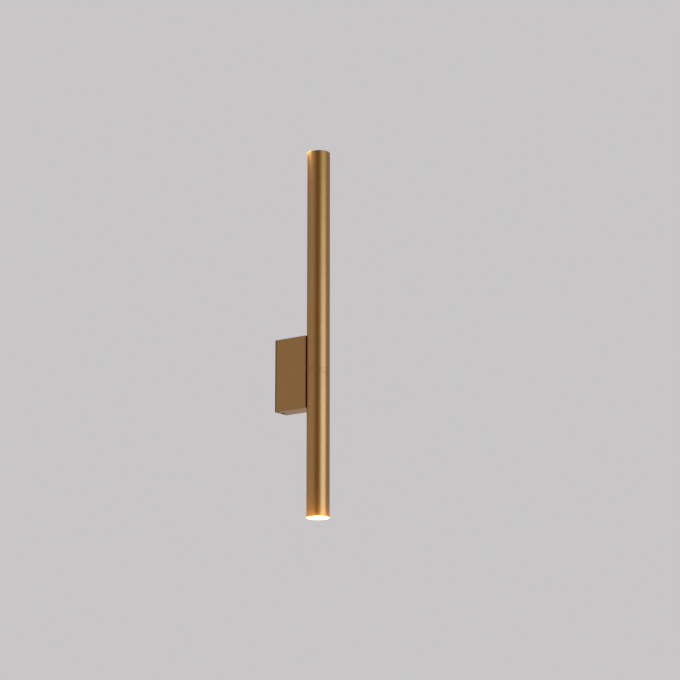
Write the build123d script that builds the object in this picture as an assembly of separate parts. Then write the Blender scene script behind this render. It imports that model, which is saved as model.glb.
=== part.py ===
from build123d import *
import math
import os

# Tube wall light with a lamp at each end, all lengths in millimetres.
# The wall is the plane y = 0 and the light stands off it towards -Y.
# z = 0 is the middle of the mounting box, and +Z points up.

# Tubes
tube_diameter = 40.0
tube_wall = 1.5
upper_reach = 395.0          # middle of the box to the top rim
lower_reach = 255.0          # middle of the box to the bottom rim
rim_round = 0.5

# Coupling core that joins the two tubes
collar_height = 8.0
collar_chamfer = 0.25
tube_joint = 0.15            # hairline between a tube and the collar
spigot_length = 34.0
spigot_gap = 0.05
spigot_chamfer = 1.0
core_bore = 8.4
stem_thread_depth = 12.0

# Mounting box
box_height = 128.0
box_width = 34.0
box_depth = 66.0             # wall to the flat lands of the front
box_wall = 2.0
box_edge_round = 0.6
wall_gap = 0.5
saddle_sink = 5.0            # how far the tube lies in the front
saddle_gap = 0.1
saddle_wall = 2.5
boss_rise = 0.7
boss_margin = 1.0            # round a washer

# Screws that pull the tubes into the saddle
fixing_offset = 22.0
fixing_thread = 4.0
fixing_length = 14.0
fixing_head = 7.0
fixing_head_height = 4.0
fixing_hole_gap = 0.25
washer_diameter = 9.0
washer_thickness = 0.8
thread_gap = 0.05
screw_end_gap = 0.2          # a screw in the bracket ends short of the wall
blind_depth = 1.0            # a blind hole past the end of its screw
cut_past = 1.0               # a cut past the face that it opens

# Proportions of screw heads
socket_key = 0.75            # key size over the thread
socket_depth = 0.6           # socket over the head's height
head_bevel = 0.05            # bevel over the head's diameter
slot_share = 0.14            # slot over the head's diameter
slot_depth = 0.5             # slot over the head's height

# Wall bracket, folded from steel strip
bracket_thickness = 1.5
bracket_side_gap = 0.5
bend_radius = 0.5
flange_depth = 10.0
flange_gap = 0.6
hook_depth = 11.0
hook_lip = 5.0
hook_drop = 6.5              # inside of the box top to the hooked flange
hook_rest = 0.1
rib_width = 20.0
rib_thickness = 4.5
rib_from_plate = 2.0
slot_spacing = 90.0
slot_length = 9.0
slot_width = 5.0

# Set screw in the underside of the box
grub_thread = 6.0
grub_length = 6.0
grub_from_wall = 5.8
grub_recess = 0.4
grub_hole_gap = 0.7
grub_key = 3.0
grub_key_depth = 2.5
grub_collar = 0.7            # wall of the drawn hole in the flange
grub_collar_height = 1.5

# Cable grommet and wire bush
cable_z = 24.0
cable_bore = 9.0
grommet_wall = 2.0
grommet_flange = 2.0
grommet_flange_thickness = 1.5
grommet_length = 6.0
bush_bore = 6.4
bush_wall = 1.3
bush_flange = 2.0
bush_flange_thickness = 1.2
bush_flange_gap = 0.5        # flange inside its seat

# Terminal block
pole_pitch = 9.0
block_width = 28.0
block_height = 20.0
block_middle = 2.0
block_base = 5.0
tower_width = 7.0
tower_round = 1.5
block_depth = 15.0
wire_axis = 7.0              # bracket to the middle of the wire bores
block_bore = 3.8
insert_length = 13.0
insert_bore = 2.8
insert_gap = 0.05
clamp_screw_offset = 4.0
clamp_screw = 2.6
clamp_head = 3.4
clamp_head_height = 2.0
clamp_seat = 1.5             # wire bore to the seat of a clamp screw's head
clamp_well = 4.2
block_screw = 2.5
block_screw_head = 4.0
block_screw_head_height = 2.0

# Earth screw, lug and lead
earth_z = -30.0
earth_thread = 4.0
earth_head = 7.0
earth_head_height = 2.6
lug_ring = 8.0
lug_thickness = 0.8
lug_barrel = 3.0
lug_barrel_length = 5.0
lug_neck = 1.0
lug_lift = 0.1               # barrel off the bracket
lug_end = 1.0                # closed end of the barrel

# Wires
wire_diameter = 1.8
wire_spread = 1.2            # each wire from the middle of its bundle
wire_pair = 0.92             # each wire from the middle of a terminal
wire_insert = 3.0
loop_low = -24.0
loop_front = -36.0
loop_radius = 8.0
core_turn_radius = 6.0
spread_radius = 10.0
earth_bend_radius = 6.0
earth_slant = 0.8            # rise over run between the earth lead's bends

# Hollow stems, nuts and carrier discs
stem_diameter = 10.0
stem_bore = 7.4
stem_stand_out = 5.0
nut_flats = 14.0
nut_height = 4.0
carrier_gap = 0.2
carrier_thickness = 3.0
carrier_vents = 6
carrier_vent = 5.0
standoff_length = 20.0
standoff_flats = 5.5
small_thread = 3.0
small_head = 5.4
small_head_height = 2.6
small_screw_length = 8.0
holder_screw_length = 16.0
small_hole_gap = 0.2
holder_screw_circle = 25.0

# Lampholder
holder_diameter = 32.0
holder_plate = 3.4
holder_chamber = 6.3
holder_back = 3.5
holder_bevel = 1.0
twist_angle = 45.0
seat_gap = 0.3
contact_gap = 0.3
contact_thickness = 0.4
contact_width = 4.0
contact_reach = 5.0
crimp_wall = 0.4
chamber_ease = 0.1

# Lamp
lens_recess = 1.0
lamp_length = 42.0           # lens face to the seat of its base
pin_pitch = 10.0
pin_neck = 2.8
pin_neck_length = 4.0
pin_head = 4.8
pin_head_length = 3.0
pin_root = 3.0
pin_gap = 0.3
lamp_diameter = 35.4
lamp_rim_height = 6.0
lamp_wall = 1.0
lens_thickness = 3.0
lens_crown = 0.8
lens_gap = 0.1
optic_depth = 8.0
optic_wall = 0.8
optic_mouth = 29.6
optic_throat = 9.0
board_diameter = 30.0
board_thickness = 1.6
chip_diameter = 7.0
chip_height = 1.0
chip_round = 0.6
heatsink_floor = 2.0
heatsink_end = 29.0          # tube rim to the back of the fins
heatsink_core = 20.0
fin_count = 18
fin_thickness = 1.2
fin_back_diameter = 26.0
fin_sink = 0.5               # fin inside the core's wall
fin_set_back = 0.4           # fin inside the rim
fin_top_gap = 1.0            # rim to the top of a fin
fin_bevel = 1.0
base_diameter = 22.0
base_seat_diameter = 19.0
base_spigot = 6.0
base_wall = 1.5
base_skirt = 4.0
base_taper = 3.0
driver_width = 11.0
driver_length = 18.0
driver_thickness = 1.2
capacitor_diameter = 5.0
capacitor_length = 8.0
capacitor_sink = 0.4
choke_width = 6.0
choke_height = 3.4
choke_sink = 0.1
first_part = 1.0             # board's edge to the capacitor

# Places worked out from the sizes above
tube_radius = tube_diameter / 2
tube_bore = tube_radius - tube_wall
saddle_y = -(box_depth - saddle_sink)
axis_y = saddle_y - tube_radius
collar_half = collar_height / 2
spigot_end = collar_half + spigot_length
spigot_radius = tube_bore - spigot_gap
box_top = box_height / 2
inner_top = box_top - box_wall
boss_y = saddle_y + saddle_wall + boss_rise
terminal_y = -(bracket_thickness + wire_axis)
block_low = block_middle - block_height / 2
pin_radius = pin_pitch / 2
seat_z = -(lens_recess + lamp_length)
plate_front = seat_z - seat_gap
plate_rear = plate_front - holder_plate
chamber_floor = plate_rear - holder_chamber
holder_rear = chamber_floor - holder_back
carrier_front = holder_rear - standoff_length
carrier_rear = carrier_front - carrier_thickness
stem_tip = carrier_front + stem_stand_out
lens_back = -(lens_recess + lens_thickness)
board_front = lens_back - lens_gap - optic_depth
board_rear = board_front - board_thickness
screw_circle = holder_screw_circle / 2


def disc(radius, low, high, bore=0):
    """A round plate or tube on the Z axis between two heights."""
    face = Circle(radius)
    if bore:
        face -= Circle(bore)
    return Pos(0, 0, low) * extrude(face, high - low)


def rod_y(radius, x, z, near, far):
    """A round bar along Y, from y = near out to y = far."""
    face = Plane.XZ.offset(-near) * Pos(x, z) * Circle(radius)
    return extrude(face, near - far)


def block(x_low, x_high, y_low, y_high, z_low, z_high):
    """A rectangular block given by its six limits."""
    size = (x_high - x_low, y_high - y_low, z_high - z_low)
    middle = ((x_high + x_low) / 2, (y_high + y_low) / 2, (z_high + z_low) / 2)
    return Pos(*middle) * Box(*size)


def hexagon(flats):
    """A hexagon by its size across the flats."""
    return RegularPolygon(flats / math.sqrt(3), 6)


def hex_bar(flats, low, high, bore):
    """A hexagonal bar with a round bore, for nuts and standoffs."""
    return Pos(0, 0, low) * extrude(hexagon(flats) - Circle(bore), high - low)


def socket_screw(thread, length, head, head_height):
    """A socket screw, with its head's seat at z = 0 and its shank downwards."""
    key = Pos(0, 0, head_height) * extrude(hexagon(thread * socket_key), -head_height * socket_depth)
    top = disc(head / 2, 0, head_height)
    top = chamfer(top.edges().group_by(Axis.Z)[-1], head * head_bevel)
    return top + disc(thread / 2, -length, 0) - key


def slotted_screw(thread, length, head, head_height):
    """A slotted cheese-head screw, with its head's seat at z = 0."""
    half = head * slot_share / 2
    slot = block(-head, head, -half, half, head_height * (1 - slot_depth), head_height * 2)
    return disc(head / 2, 0, head_height) + disc(thread / 2, -length, 0) - slot


def facing_wall(x, y, z):
    """Turns a screw so that its head looks towards the wall and its shank to -Y."""
    return Pos(x, y, z) * Rot(-90, 0, 0)


def facing_room(x, y, z):
    """Turns a screw so that its head looks into the room and its shank to +Y."""
    return Pos(x, y, z) * Rot(90, 0, 0)


def mounting_box():
    """Cast box with an open back, a saddle for the tubes and a rib that hangs on the bracket."""
    half = box_width / 2
    outer = block(-half, half, -box_depth, -wall_gap, -box_top, box_top)
    back_edges = outer.edges().group_by(Axis.Y)[-1]
    outer = fillet(outer.edges() - back_edges, box_edge_round)
    inner_half = half - box_wall
    cavity = block(-inner_half, inner_half, -(box_depth - box_wall), 0, -inner_top, inner_top)
    on_axis = Pos(0, axis_y, 0)
    cavity -= on_axis * disc(tube_radius + saddle_gap + saddle_wall, -box_top, box_top)
    shell = outer - cavity
    for z in (-fixing_offset, fixing_offset):
        shell += rod_y(washer_diameter / 2 + boss_margin, 0, z, boss_y, saddle_y)
    bush_seat = bush_bore / 2 + bush_wall + bush_flange
    shell += rod_y(bush_seat, 0, 0, boss_y, saddle_y)
    shell -= on_axis * disc(tube_radius + saddle_gap, -box_height, box_height)
    for z in (-fixing_offset, fixing_offset):
        shell -= rod_y(fixing_thread / 2 + fixing_hole_gap, 0, z, 0, axis_y)
    shell -= rod_y(bush_bore / 2 + bush_wall, 0, 0, 0, axis_y)
    rib_back = -(bracket_thickness + rib_from_plate)
    rib_low = inner_top - hook_drop + hook_rest
    rib = block(-rib_width / 2, rib_width / 2, rib_back - rib_thickness, rib_back, rib_low, inner_top)
    shell += fillet(rib.edges().group_by(Axis.Z)[0].filter_by(Axis.X), box_edge_round)
    grub_hole = disc(grub_thread / 2 + grub_hole_gap, -box_height, cut_past - inner_top)
    return shell - Pos(0, -grub_from_wall, 0) * grub_hole


def wall_bracket():
    """Folded strip: a plate on the wall, a hook on top and a flange with a drawn, tapped hole below."""
    thick = bracket_thickness
    low = -inner_top + flange_gap
    high = inner_top - hook_drop
    outline = [
        (0, low), (-flange_depth, low), (-flange_depth, low + thick), (-thick, low + thick),
        (-thick, high - thick), (-hook_depth, high - thick), (-hook_depth, high + hook_lip),
        (thick - hook_depth, high + hook_lip), (thick - hook_depth, high), (0, high),
    ]
    profile = make_face(Plane.YZ * Polyline(*outline, close=True))
    outside = [(0, low), (0, high), (-hook_depth, high - thick)]
    inside = [(-thick, low + thick), (-thick, high - thick), (thick - hook_depth, high)]
    for corners, radius in ((outside, bend_radius + thick), (inside, bend_radius)):
        bends = [v for v in profile.vertices() if any(at_corner(v, c) for c in corners)]
        profile = fillet(bends, radius)
    width = box_width - 2 * (box_wall + bracket_side_gap)
    plate = extrude(profile, width / 2, both=True)
    for z in (-slot_spacing / 2, slot_spacing / 2):
        slot = Plane.XZ * Pos(0, z) * SlotOverall(slot_length, slot_width, rotation=90)
        plate -= extrude(slot, hook_depth / 2)
    plate -= rod_y(cable_bore / 2 + grommet_wall, 0, cable_z, 0, -hook_depth / 2)
    plate -= rod_y(block_screw / 2 + thread_gap, pole_pitch / 2, block_middle, 0, -hook_depth / 2)
    plate -= rod_y(earth_thread / 2 + thread_gap, 0, earth_z, 0, -hook_depth / 2)
    collar_top = low + thick + grub_collar_height
    drawn = disc(grub_thread / 2 + grub_collar, low + thick / 2, collar_top)
    tapped = disc(grub_thread / 2 + thread_gap, -box_top, collar_top)
    at_grub = Pos(0, -grub_from_wall, 0)
    return plate + at_grub * drawn - at_grub * tapped


def at_corner(vertex, corner):
    """True for a vertex of the bracket's profile that lies on a corner (y, z)."""
    return abs(vertex.Y - corner[0]) < 0.01 and abs(vertex.Z - corner[1]) < 0.01


def cable_grommet():
    """Rubber bush in the bracket, flush with the wall, for the supply cable."""
    bore = cable_bore / 2
    body = rod_y(bore + grommet_wall, 0, cable_z, 0, -bracket_thickness)
    flange_y = -(bracket_thickness + grommet_flange_thickness)
    body += rod_y(bore + grommet_wall + grommet_flange, 0, cable_z, -bracket_thickness, flange_y)
    body += rod_y(bore + grommet_wall / 2, 0, cable_z, flange_y, -grommet_length)
    return body - rod_y(bore, 0, cable_z, 0, -grommet_length)


def wire_bush():
    """Rubber bush that lines the wire hole in the front wall of the box."""
    bore = bush_bore / 2
    rim_y = boss_y + bush_flange_thickness
    body = rod_y(bore + bush_wall + bush_flange - bush_flange_gap, 0, 0, rim_y, boss_y)
    body += rod_y(bore + bush_wall, 0, 0, boss_y, saddle_y)
    return body - rod_y(bore, 0, 0, rim_y, saddle_y)


def box_grub_screw():
    """Set screw in the lower flange, with its key socket just inside the underside of the box."""
    low = -box_top + grub_recess
    screw = disc(grub_thread / 2, low, low + grub_length)
    socket = Pos(0, 0, low) * extrude(hexagon(grub_key), grub_key_depth)
    return Pos(0, -grub_from_wall, 0) * (screw - socket)


def pole_places():
    """The three poles of the terminal block: live, earth and neutral."""
    return [-pole_pitch, 0, pole_pitch]


def terminal_block():
    """Three-pole block with a tower over each pole and a screw well over each clamp."""
    low, high = block_low, block_low + block_height
    back = -bracket_thickness
    half = block_width / 2
    body = block(-half, half, back - block_base, back, low, high)
    for x in pole_places():
        tower = block(x - tower_width / 2, x + tower_width / 2, back - block_depth, back, low, high)
        body += fillet(tower.edges().filter_by(Axis.Z).group_by(Axis.Y)[0], tower_round)
    for x in pole_places():
        body -= Pos(x, terminal_y, 0) * disc(block_bore / 2, low, high)
        for z in clamp_places():
            body -= rod_y(clamp_well / 2, x, z, terminal_y, back - block_depth)
    fixing = pole_pitch / 2
    body -= rod_y(block_screw / 2 + small_hole_gap, fixing, block_middle, 0, -box_depth)
    well = block_screw_head / 2 + small_hole_gap
    return body - rod_y(well, fixing, block_middle, back - block_base, -box_depth)


def clamp_places():
    """Heights of the two clamp screws of a pole."""
    return [block_middle - clamp_screw_offset, block_middle + clamp_screw_offset]


def terminal_inserts():
    """Brass tubes in the block, one for each pole, tapped for two clamp screws."""
    low = block_middle - insert_length / 2
    tube = disc(block_bore / 2 - insert_gap, low, low + insert_length, insert_bore / 2)
    for z in clamp_places():
        tube -= rod_y(clamp_screw / 2 + thread_gap, 0, z, 0, -block_bore)
    return [Pos(x, terminal_y, 0) * tube for x in pole_places()]


def terminal_screws():
    """Slotted clamp screws, two for each pole."""
    length = clamp_seat + block_bore / 2
    screw = slotted_screw(clamp_screw, length, clamp_head, clamp_head_height)
    places = [(x, z) for x in pole_places() for z in clamp_places()]
    return [facing_room(x, terminal_y - length, z) * screw for x, z in places]


def terminal_fixing_screw():
    """Screw that holds the block to the bracket, sunk between two towers."""
    seat = -(bracket_thickness + block_base)
    length = block_base + bracket_thickness - screw_end_gap
    screw = slotted_screw(block_screw, length, block_screw_head, block_screw_head_height)
    return facing_room(pole_pitch / 2, seat, block_middle) * screw


def earth_screw():
    """Screw in the bracket that clamps the earth lug."""
    seat = -(bracket_thickness + lug_thickness)
    length = lug_thickness + bracket_thickness - screw_end_gap
    screw = slotted_screw(earth_thread, length, earth_head, earth_head_height)
    return facing_room(0, seat, earth_z) * screw


def lug_top():
    """Height where the earth lead leaves the lug."""
    return earth_z + lug_ring / 2 + lug_neck + lug_barrel_length


def lug_barrel_y():
    """Distance of the barrel's middle from the wall."""
    return -(bracket_thickness + lug_barrel / 2 + lug_lift)


def earth_lug():
    """Ring terminal: a flat ring under the screw, a neck and a crimped barrel."""
    near, far = -bracket_thickness, -(bracket_thickness + lug_thickness)
    barrel_low = lug_top() - lug_barrel_length
    ring = rod_y(lug_ring / 2, 0, earth_z, near, far)
    ring += block(-lug_barrel / 2, lug_barrel / 2, far, near, earth_z, barrel_low + lug_end)
    ring -= rod_y(earth_thread / 2 + small_hole_gap, 0, earth_z, near, far)
    barrel = Pos(0, lug_barrel_y(), 0) * disc(lug_barrel / 2, barrel_low, lug_top())
    bore = Pos(0, lug_barrel_y(), 0) * disc(wire_diameter / 2, barrel_low + lug_end, lug_top())
    return ring + barrel - bore


def coupling_core():
    """Turned bar that joins the tubes: a collar, two spigots and bores for stems and wires."""
    body = disc(tube_radius, -collar_half, collar_half)
    body = chamfer(body.edges(), collar_chamfer)
    spigots = disc(spigot_radius, -spigot_end, spigot_end)
    body += chamfer(spigots.edges(), spigot_chamfer)
    body -= disc(core_bore / 2, -spigot_end, spigot_end)
    thread = stem_diameter / 2 + thread_gap
    body -= disc(thread, spigot_end - stem_thread_depth, spigot_end)
    body -= disc(thread, -spigot_end, stem_thread_depth - spigot_end)
    body = Pos(0, axis_y, 0) * body
    body -= rod_y(bush_bore / 2, 0, 0, saddle_y, axis_y)
    blind = boss_y + washer_thickness - fixing_length - blind_depth
    for z in (-fixing_offset, fixing_offset):
        body -= rod_y(fixing_thread / 2 + thread_gap, 0, z, saddle_y, blind)
    return body


def tube(reach, direction):
    """One tube, from the collar out to its lamp end, with a hole for its fixing screw."""
    shell = disc(tube_radius, collar_half + tube_joint, reach, tube_bore)
    rim = shell.edges().group_by(Axis.Z)[-1].sort_by(SortBy.RADIUS)[-1]
    shell = fillet(rim, rim_round)
    if direction < 0:
        shell = Rot(180, 0, 0) * shell
    shell = Pos(0, axis_y, 0) * shell
    hole = fixing_thread / 2 + fixing_hole_gap
    return shell - rod_y(hole, 0, direction * fixing_offset, saddle_y, saddle_y - 2 * tube_wall)


def tube_fixing_screws():
    """Two screws from inside the box through the saddle and the tube wall into the core."""
    seat = boss_y + washer_thickness
    screw = socket_screw(fixing_thread, fixing_length, fixing_head, fixing_head_height)
    return [facing_wall(0, seat, z) * screw for z in (-fixing_offset, fixing_offset)]


def tube_fixing_washers():
    """A washer under each of those heads."""
    places = (-fixing_offset, fixing_offset)
    hole = fixing_thread / 2 + small_hole_gap
    washers = [rod_y(washer_diameter / 2, 0, z, boss_y + washer_thickness, boss_y) for z in places]
    return [w - rod_y(hole, 0, z, 0, axis_y) for w, z in zip(washers, places)]


def stem(reach):
    """Hollow threaded stem from the core to the carrier disc, seen along its own axis."""
    start = spigot_end - stem_thread_depth
    return disc(stem_diameter / 2, start - reach, stem_tip, stem_bore / 2)


def stem_nuts():
    """A nut on each side of the carrier disc."""
    bore = stem_diameter / 2 + thread_gap
    front = hex_bar(nut_flats, carrier_front, carrier_front + nut_height, bore)
    back = hex_bar(nut_flats, carrier_rear - nut_height, carrier_rear, bore)
    return [front, back]


def screw_places():
    """The two lampholder screws, square to the line of the lamp's pins."""
    return [Pos(0, -screw_circle, 0), Pos(0, screw_circle, 0)]


def carrier_disc():
    """Turned disc that centres the stem in the tube and carries the lampholder."""
    bore = stem_diameter / 2 + small_hole_gap
    plate = disc(tube_bore - carrier_gap, carrier_rear, carrier_front, bore)
    for place in screw_places():
        plate -= place * disc(small_thread / 2 + small_hole_gap, carrier_rear, carrier_front)
    for spot in PolarLocations(screw_circle, carrier_vents, start_angle=0):
        plate -= spot * disc(carrier_vent / 2, carrier_rear, carrier_front)
    return plate


def standoffs():
    """Tapped hexagonal pillars between the carrier disc and the lampholder."""
    pillar = hex_bar(standoff_flats, carrier_front, holder_rear, small_thread / 2 + thread_gap)
    return [place * pillar for place in screw_places()]


def standoff_screws():
    """Screws through the carrier disc into the pillars."""
    screw = socket_screw(small_thread, small_screw_length, small_head, small_head_height)
    return [place * Pos(0, 0, carrier_rear) * Rot(180, 0, 0) * screw for place in screw_places()]


def holder_screws():
    """Screws through the lampholder into the pillars, sunk below its face."""
    seat = plate_front - small_head_height - seat_gap
    screw = socket_screw(small_thread, holder_screw_length, small_head, small_head_height)
    return [place * Pos(0, 0, seat) * screw for place in screw_places()]


def pin_turns():
    """The two pins lie half a turn apart."""
    return [Rot(0, 0, 0), Rot(0, 0, 180)]


def lampholder():
    """Ceramic holder in two halves: a cover with keyhole slots and a base with a chamber behind each."""
    cover = disc(holder_diameter / 2, plate_rear, plate_front)
    cover = chamfer(cover.edges().group_by(Axis.Z)[-1], holder_bevel)
    base = disc(holder_diameter / 2, holder_rear, plate_rear)
    travel = CenterArc((0, 0), pin_radius, 0, twist_angle)
    way_in = Rot(0, 0, twist_angle) * Pos(pin_radius, 0, 0)
    head_clear = pin_head / 2 + pin_gap
    leaf_room = pin_radius + pin_head / 2 + contact_gap + 2 * contact_thickness
    side = head_clear + chamber_ease
    turned = math.radians(twist_angle)
    inside = pin_radius * math.cos(turned) - side
    far_side = pin_radius * math.sin(turned) + side
    for turn in pin_turns():
        slot = extrude(SlotArc(travel, pin_neck + 2 * pin_gap), holder_plate)
        cover -= turn * Pos(0, 0, plate_rear) * slot
        cover -= turn * way_in * disc(head_clear, plate_rear, plate_front)
        base -= turn * block(inside, leaf_room, -side, far_side, chamber_floor, plate_rear)
        base -= turn * Pos(pin_radius, 0, 0) * disc(crimp_radius() + thread_gap, holder_rear, chamber_floor)
    head_room = small_head / 2 + small_hole_gap
    for place in screw_places():
        screw_hole = place * disc(small_thread / 2 + small_hole_gap, holder_rear, plate_front)
        base -= screw_hole
        cover -= screw_hole
        cover -= place * disc(head_room, plate_front - small_head_height - seat_gap, plate_front)
    return [cover, base]


def crimp_radius():
    """Outside of the crimped barrel on a contact."""
    return wire_diameter / 2 + crimp_wall


def holder_contacts():
    """Two spring contacts: a leaf beside the pin's head, a foot and a crimped barrel."""
    outer = pin_radius + pin_head / 2 + contact_gap + contact_thickness
    foot_in = pin_radius - crimp_radius()
    outline = [
        (foot_in, chamber_floor), (outer, chamber_floor), (outer, chamber_floor + contact_reach),
        (outer - contact_thickness, chamber_floor + contact_reach),
        (outer - contact_thickness, chamber_floor + contact_thickness),
        (foot_in, chamber_floor + contact_thickness),
    ]
    leaf = extrude(make_face(Plane.XZ * Polyline(*outline, close=True)), contact_width / 2, both=True)
    bore = wire_diameter / 2
    barrel = disc(crimp_radius(), holder_rear, chamber_floor)
    barrel -= disc(bore, holder_rear, holder_rear + wire_insert)
    contact = leaf + Pos(pin_radius, 0, 0) * barrel
    return [turn * contact for turn in pin_turns()]


def lamp_body():
    """Cast heat sink: a plain rim round the lens, a cup for the optic and a crown of fins."""
    rim = lamp_diameter / 2
    rim_low = -(lens_recess + lamp_rim_height)
    core = heatsink_core / 2
    floor = board_rear - heatsink_floor
    cup = board_diameter / 2 + lens_gap
    wall_line = cup + lamp_wall
    profile = Polyline(
        (base_bore(), floor - heatsink_floor), (0, floor - heatsink_floor), (0, board_rear),
        (cup, board_rear), (cup, lens_back),
        (rim - lamp_wall, lens_back), (rim - lamp_wall, -lens_recess - lens_crown),
        (rim, -lens_recess - lens_crown), (rim, rim_low), (wall_line, board_rear),
        (core, floor), (core, -heatsink_end), (base_bore(), -heatsink_end), close=True,
    )
    body = revolve(make_face(Plane.XZ * profile), Axis.Z)
    root = core - fin_sink
    edge = rim - fin_set_back
    top = rim_low - fin_top_gap
    back = fin_back_diameter / 2
    fin_line = Polyline(
        (root, top), (edge, top), (edge, top - fin_bevel), (back, fin_bevel - heatsink_end),
        (back - fin_bevel, -heatsink_end), (root, -heatsink_end), close=True,
    )
    fin = extrude(make_face(Plane.XZ * fin_line), fin_thickness / 2, both=True)
    hollow = disc(cup + lamp_wall / 2, board_rear, 0) + disc(core - fin_sink / 2, -lamp_length, 0)
    fin -= hollow
    for spot in PolarLocations(0, fin_count):
        body += spot * fin
    return body


def base_bore():
    """Bore in the back of the heat sink that takes the spigot of the base."""
    return heatsink_core / 2 - 2 * lamp_wall


def lamp_base():
    """Moulded base that closes the heat sink, houses the driver and carries the pins."""
    outside = base_diameter / 2
    seat = base_seat_diameter / 2
    spigot = base_bore() - thread_gap
    inside = spigot - base_wall
    floor = seat_z + pin_root
    skirt_low = -(heatsink_end + base_skirt)
    profile = Polyline(
        (inside, base_spigot - heatsink_end), (spigot, base_spigot - heatsink_end),
        (spigot, -heatsink_end), (outside, -heatsink_end), (outside, skirt_low),
        (seat, skirt_low - base_taper), (seat, seat_z), (0, seat_z), (0, floor), (inside, floor),
        close=True,
    )
    body = revolve(make_face(Plane.XZ * profile), Axis.Z)
    for turn in pin_turns():
        body -= turn * Pos(pin_radius, 0, 0) * disc(pin_neck / 2, seat_z, floor)
    return body


def lamp_pins():
    """Two turned pins with broad heads that lock behind the keyhole slots."""
    neck_end = seat_z - pin_neck_length
    pin = disc(pin_neck / 2, neck_end, seat_z + pin_root)
    head = disc(pin_head / 2, neck_end - pin_head_length, neck_end)
    pin += chamfer(head.edges().group_by(Axis.Z)[0], 0.5)
    return [turn * Pos(pin_radius, 0, 0) * pin for turn in pin_turns()]


def driver_board():
    """Driver in the base: a board on edge with a capacitor and a choke."""
    low = seat_z + pin_root + pin_gap
    high = low + driver_length
    half = driver_width / 2
    face = driver_thickness / 2
    body = block(-half, half, -face, face, low, high)
    radius = capacitor_diameter / 2
    capacitor_y = capacitor_sink - face - radius
    body += Pos(0, capacitor_y, low + first_part) * disc(radius, 0, capacitor_length)
    half = choke_width / 2
    choke_z = low + first_part + capacitor_length / 2
    rear = face + choke_height
    return body + block(-half, half, face - choke_sink, rear, choke_z - half, choke_z + half)


def led_board():
    """Round board that carries the light source."""
    return disc(board_diameter / 2, board_rear, board_front)


def led_chip():
    """Light source: a round dome under yellow phosphor."""
    chip = disc(chip_diameter / 2, board_front, board_front + chip_height)
    return fillet(chip.edges().group_by(Axis.Z)[-1], chip_round)


def lamp_optic():
    """Reflector cone between the light source and the lens."""
    throat = optic_throat / 2
    mouth = optic_mouth / 2
    top = lens_back - lens_gap
    profile = Polyline(
        (throat, board_front), (throat + optic_wall, board_front), (mouth, top - optic_wall),
        (mouth, top), (mouth - optic_wall, top), close=True,
    )
    return revolve(make_face(Plane.XZ * profile), Axis.Z)


def lamp_lens():
    """Round lens that closes the lamp: a flat back under a slight crown."""
    radius = lamp_diameter / 2 - lamp_wall - lens_gap
    ball = (radius ** 2 + lens_crown ** 2) / (2 * lens_crown)
    return disc(radius, lens_back, 0) & Pos(0, 0, -lens_recess - ball) * Sphere(ball)


def wire(name, points, radii):
    """Insulated wire along straight runs and tangent arcs, with a check of its volume."""
    path = FilletPolyline(*points, radius=radii)
    section = Plane(path @ 0, z_dir=path % 0) * Circle(wire_diameter / 2)
    solid = sweep(section, path=path)
    expected = math.pi * (wire_diameter / 2) ** 2 * path.length
    ratio = round(solid.volume / expected, 4)
    print(name, "length", round(path.length, 1), "radii", radii, "volume ratio", ratio)
    return solid


def lamp_wire(name, side, reach, pole_x):
    """One lamp wire: terminal, loop in the box, bush, core, stem and contact.

    side is 1 for the upper lamp and -1 for the lower one, whose wire lies outside in the loop.
    """
    inner_x = math.copysign(wire_spread, pole_x)
    contact_x = math.copysign(pin_radius, pole_x)
    start_y = terminal_y - side * wire_pair
    low_z = loop_low + side * wire_spread
    rise_y = loop_front + side * wire_spread
    bundle_z = side * wire_spread
    points = [
        (pole_x, start_y, block_low + wire_insert), (pole_x, start_y, low_z), (pole_x, rise_y, low_z),
        (inner_x, rise_y, bundle_z), (inner_x, axis_y, bundle_z),
        (inner_x, axis_y, side * (reach + stem_tip)),
        (contact_x, axis_y, side * (reach + holder_rear - wire_insert)),
        (contact_x, axis_y, side * (reach + holder_rear + wire_insert)),
    ]
    radii = [loop_radius] * 3 + [core_turn_radius] + [spread_radius] * 2
    return wire(name, points, radii)


def earth_wire():
    """Earth lead from the middle pole to the lug on the bracket."""
    start = block_low + wire_insert
    fall = terminal_y - lug_barrel_y()
    bend_low = lug_top() + earth_bend_radius / 2
    points = [
        (0, terminal_y, start), (0, terminal_y, bend_low - fall * earth_slant),
        (0, lug_barrel_y(), bend_low), (0, lug_barrel_y(), lug_top() - lug_barrel_length + lug_end),
    ]
    return wire("earth_wire", points, [earth_bend_radius] * 2)


def lamp_end():
    """Everything at one end of the light: z = 0 is the rim of the tube and +Z points out."""
    return {
        "stem_nuts": stem_nuts(),
        "carrier_disc": carrier_disc(),
        "standoffs": standoffs(),
        "standoff_screws": standoff_screws(),
        "lampholder": lampholder(),
        "holder_screws": holder_screws(),
        "holder_contacts": holder_contacts(),
        "lamp_body": lamp_body(),
        "lamp_base": lamp_base(),
        "lamp_pins": lamp_pins(),
        "driver_board": driver_board(),
        "led_board": led_board(),
        "led_chip": led_chip(),
        "lamp_optic": lamp_optic(),
        "lamp_lens": lamp_lens(),
    }


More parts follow.
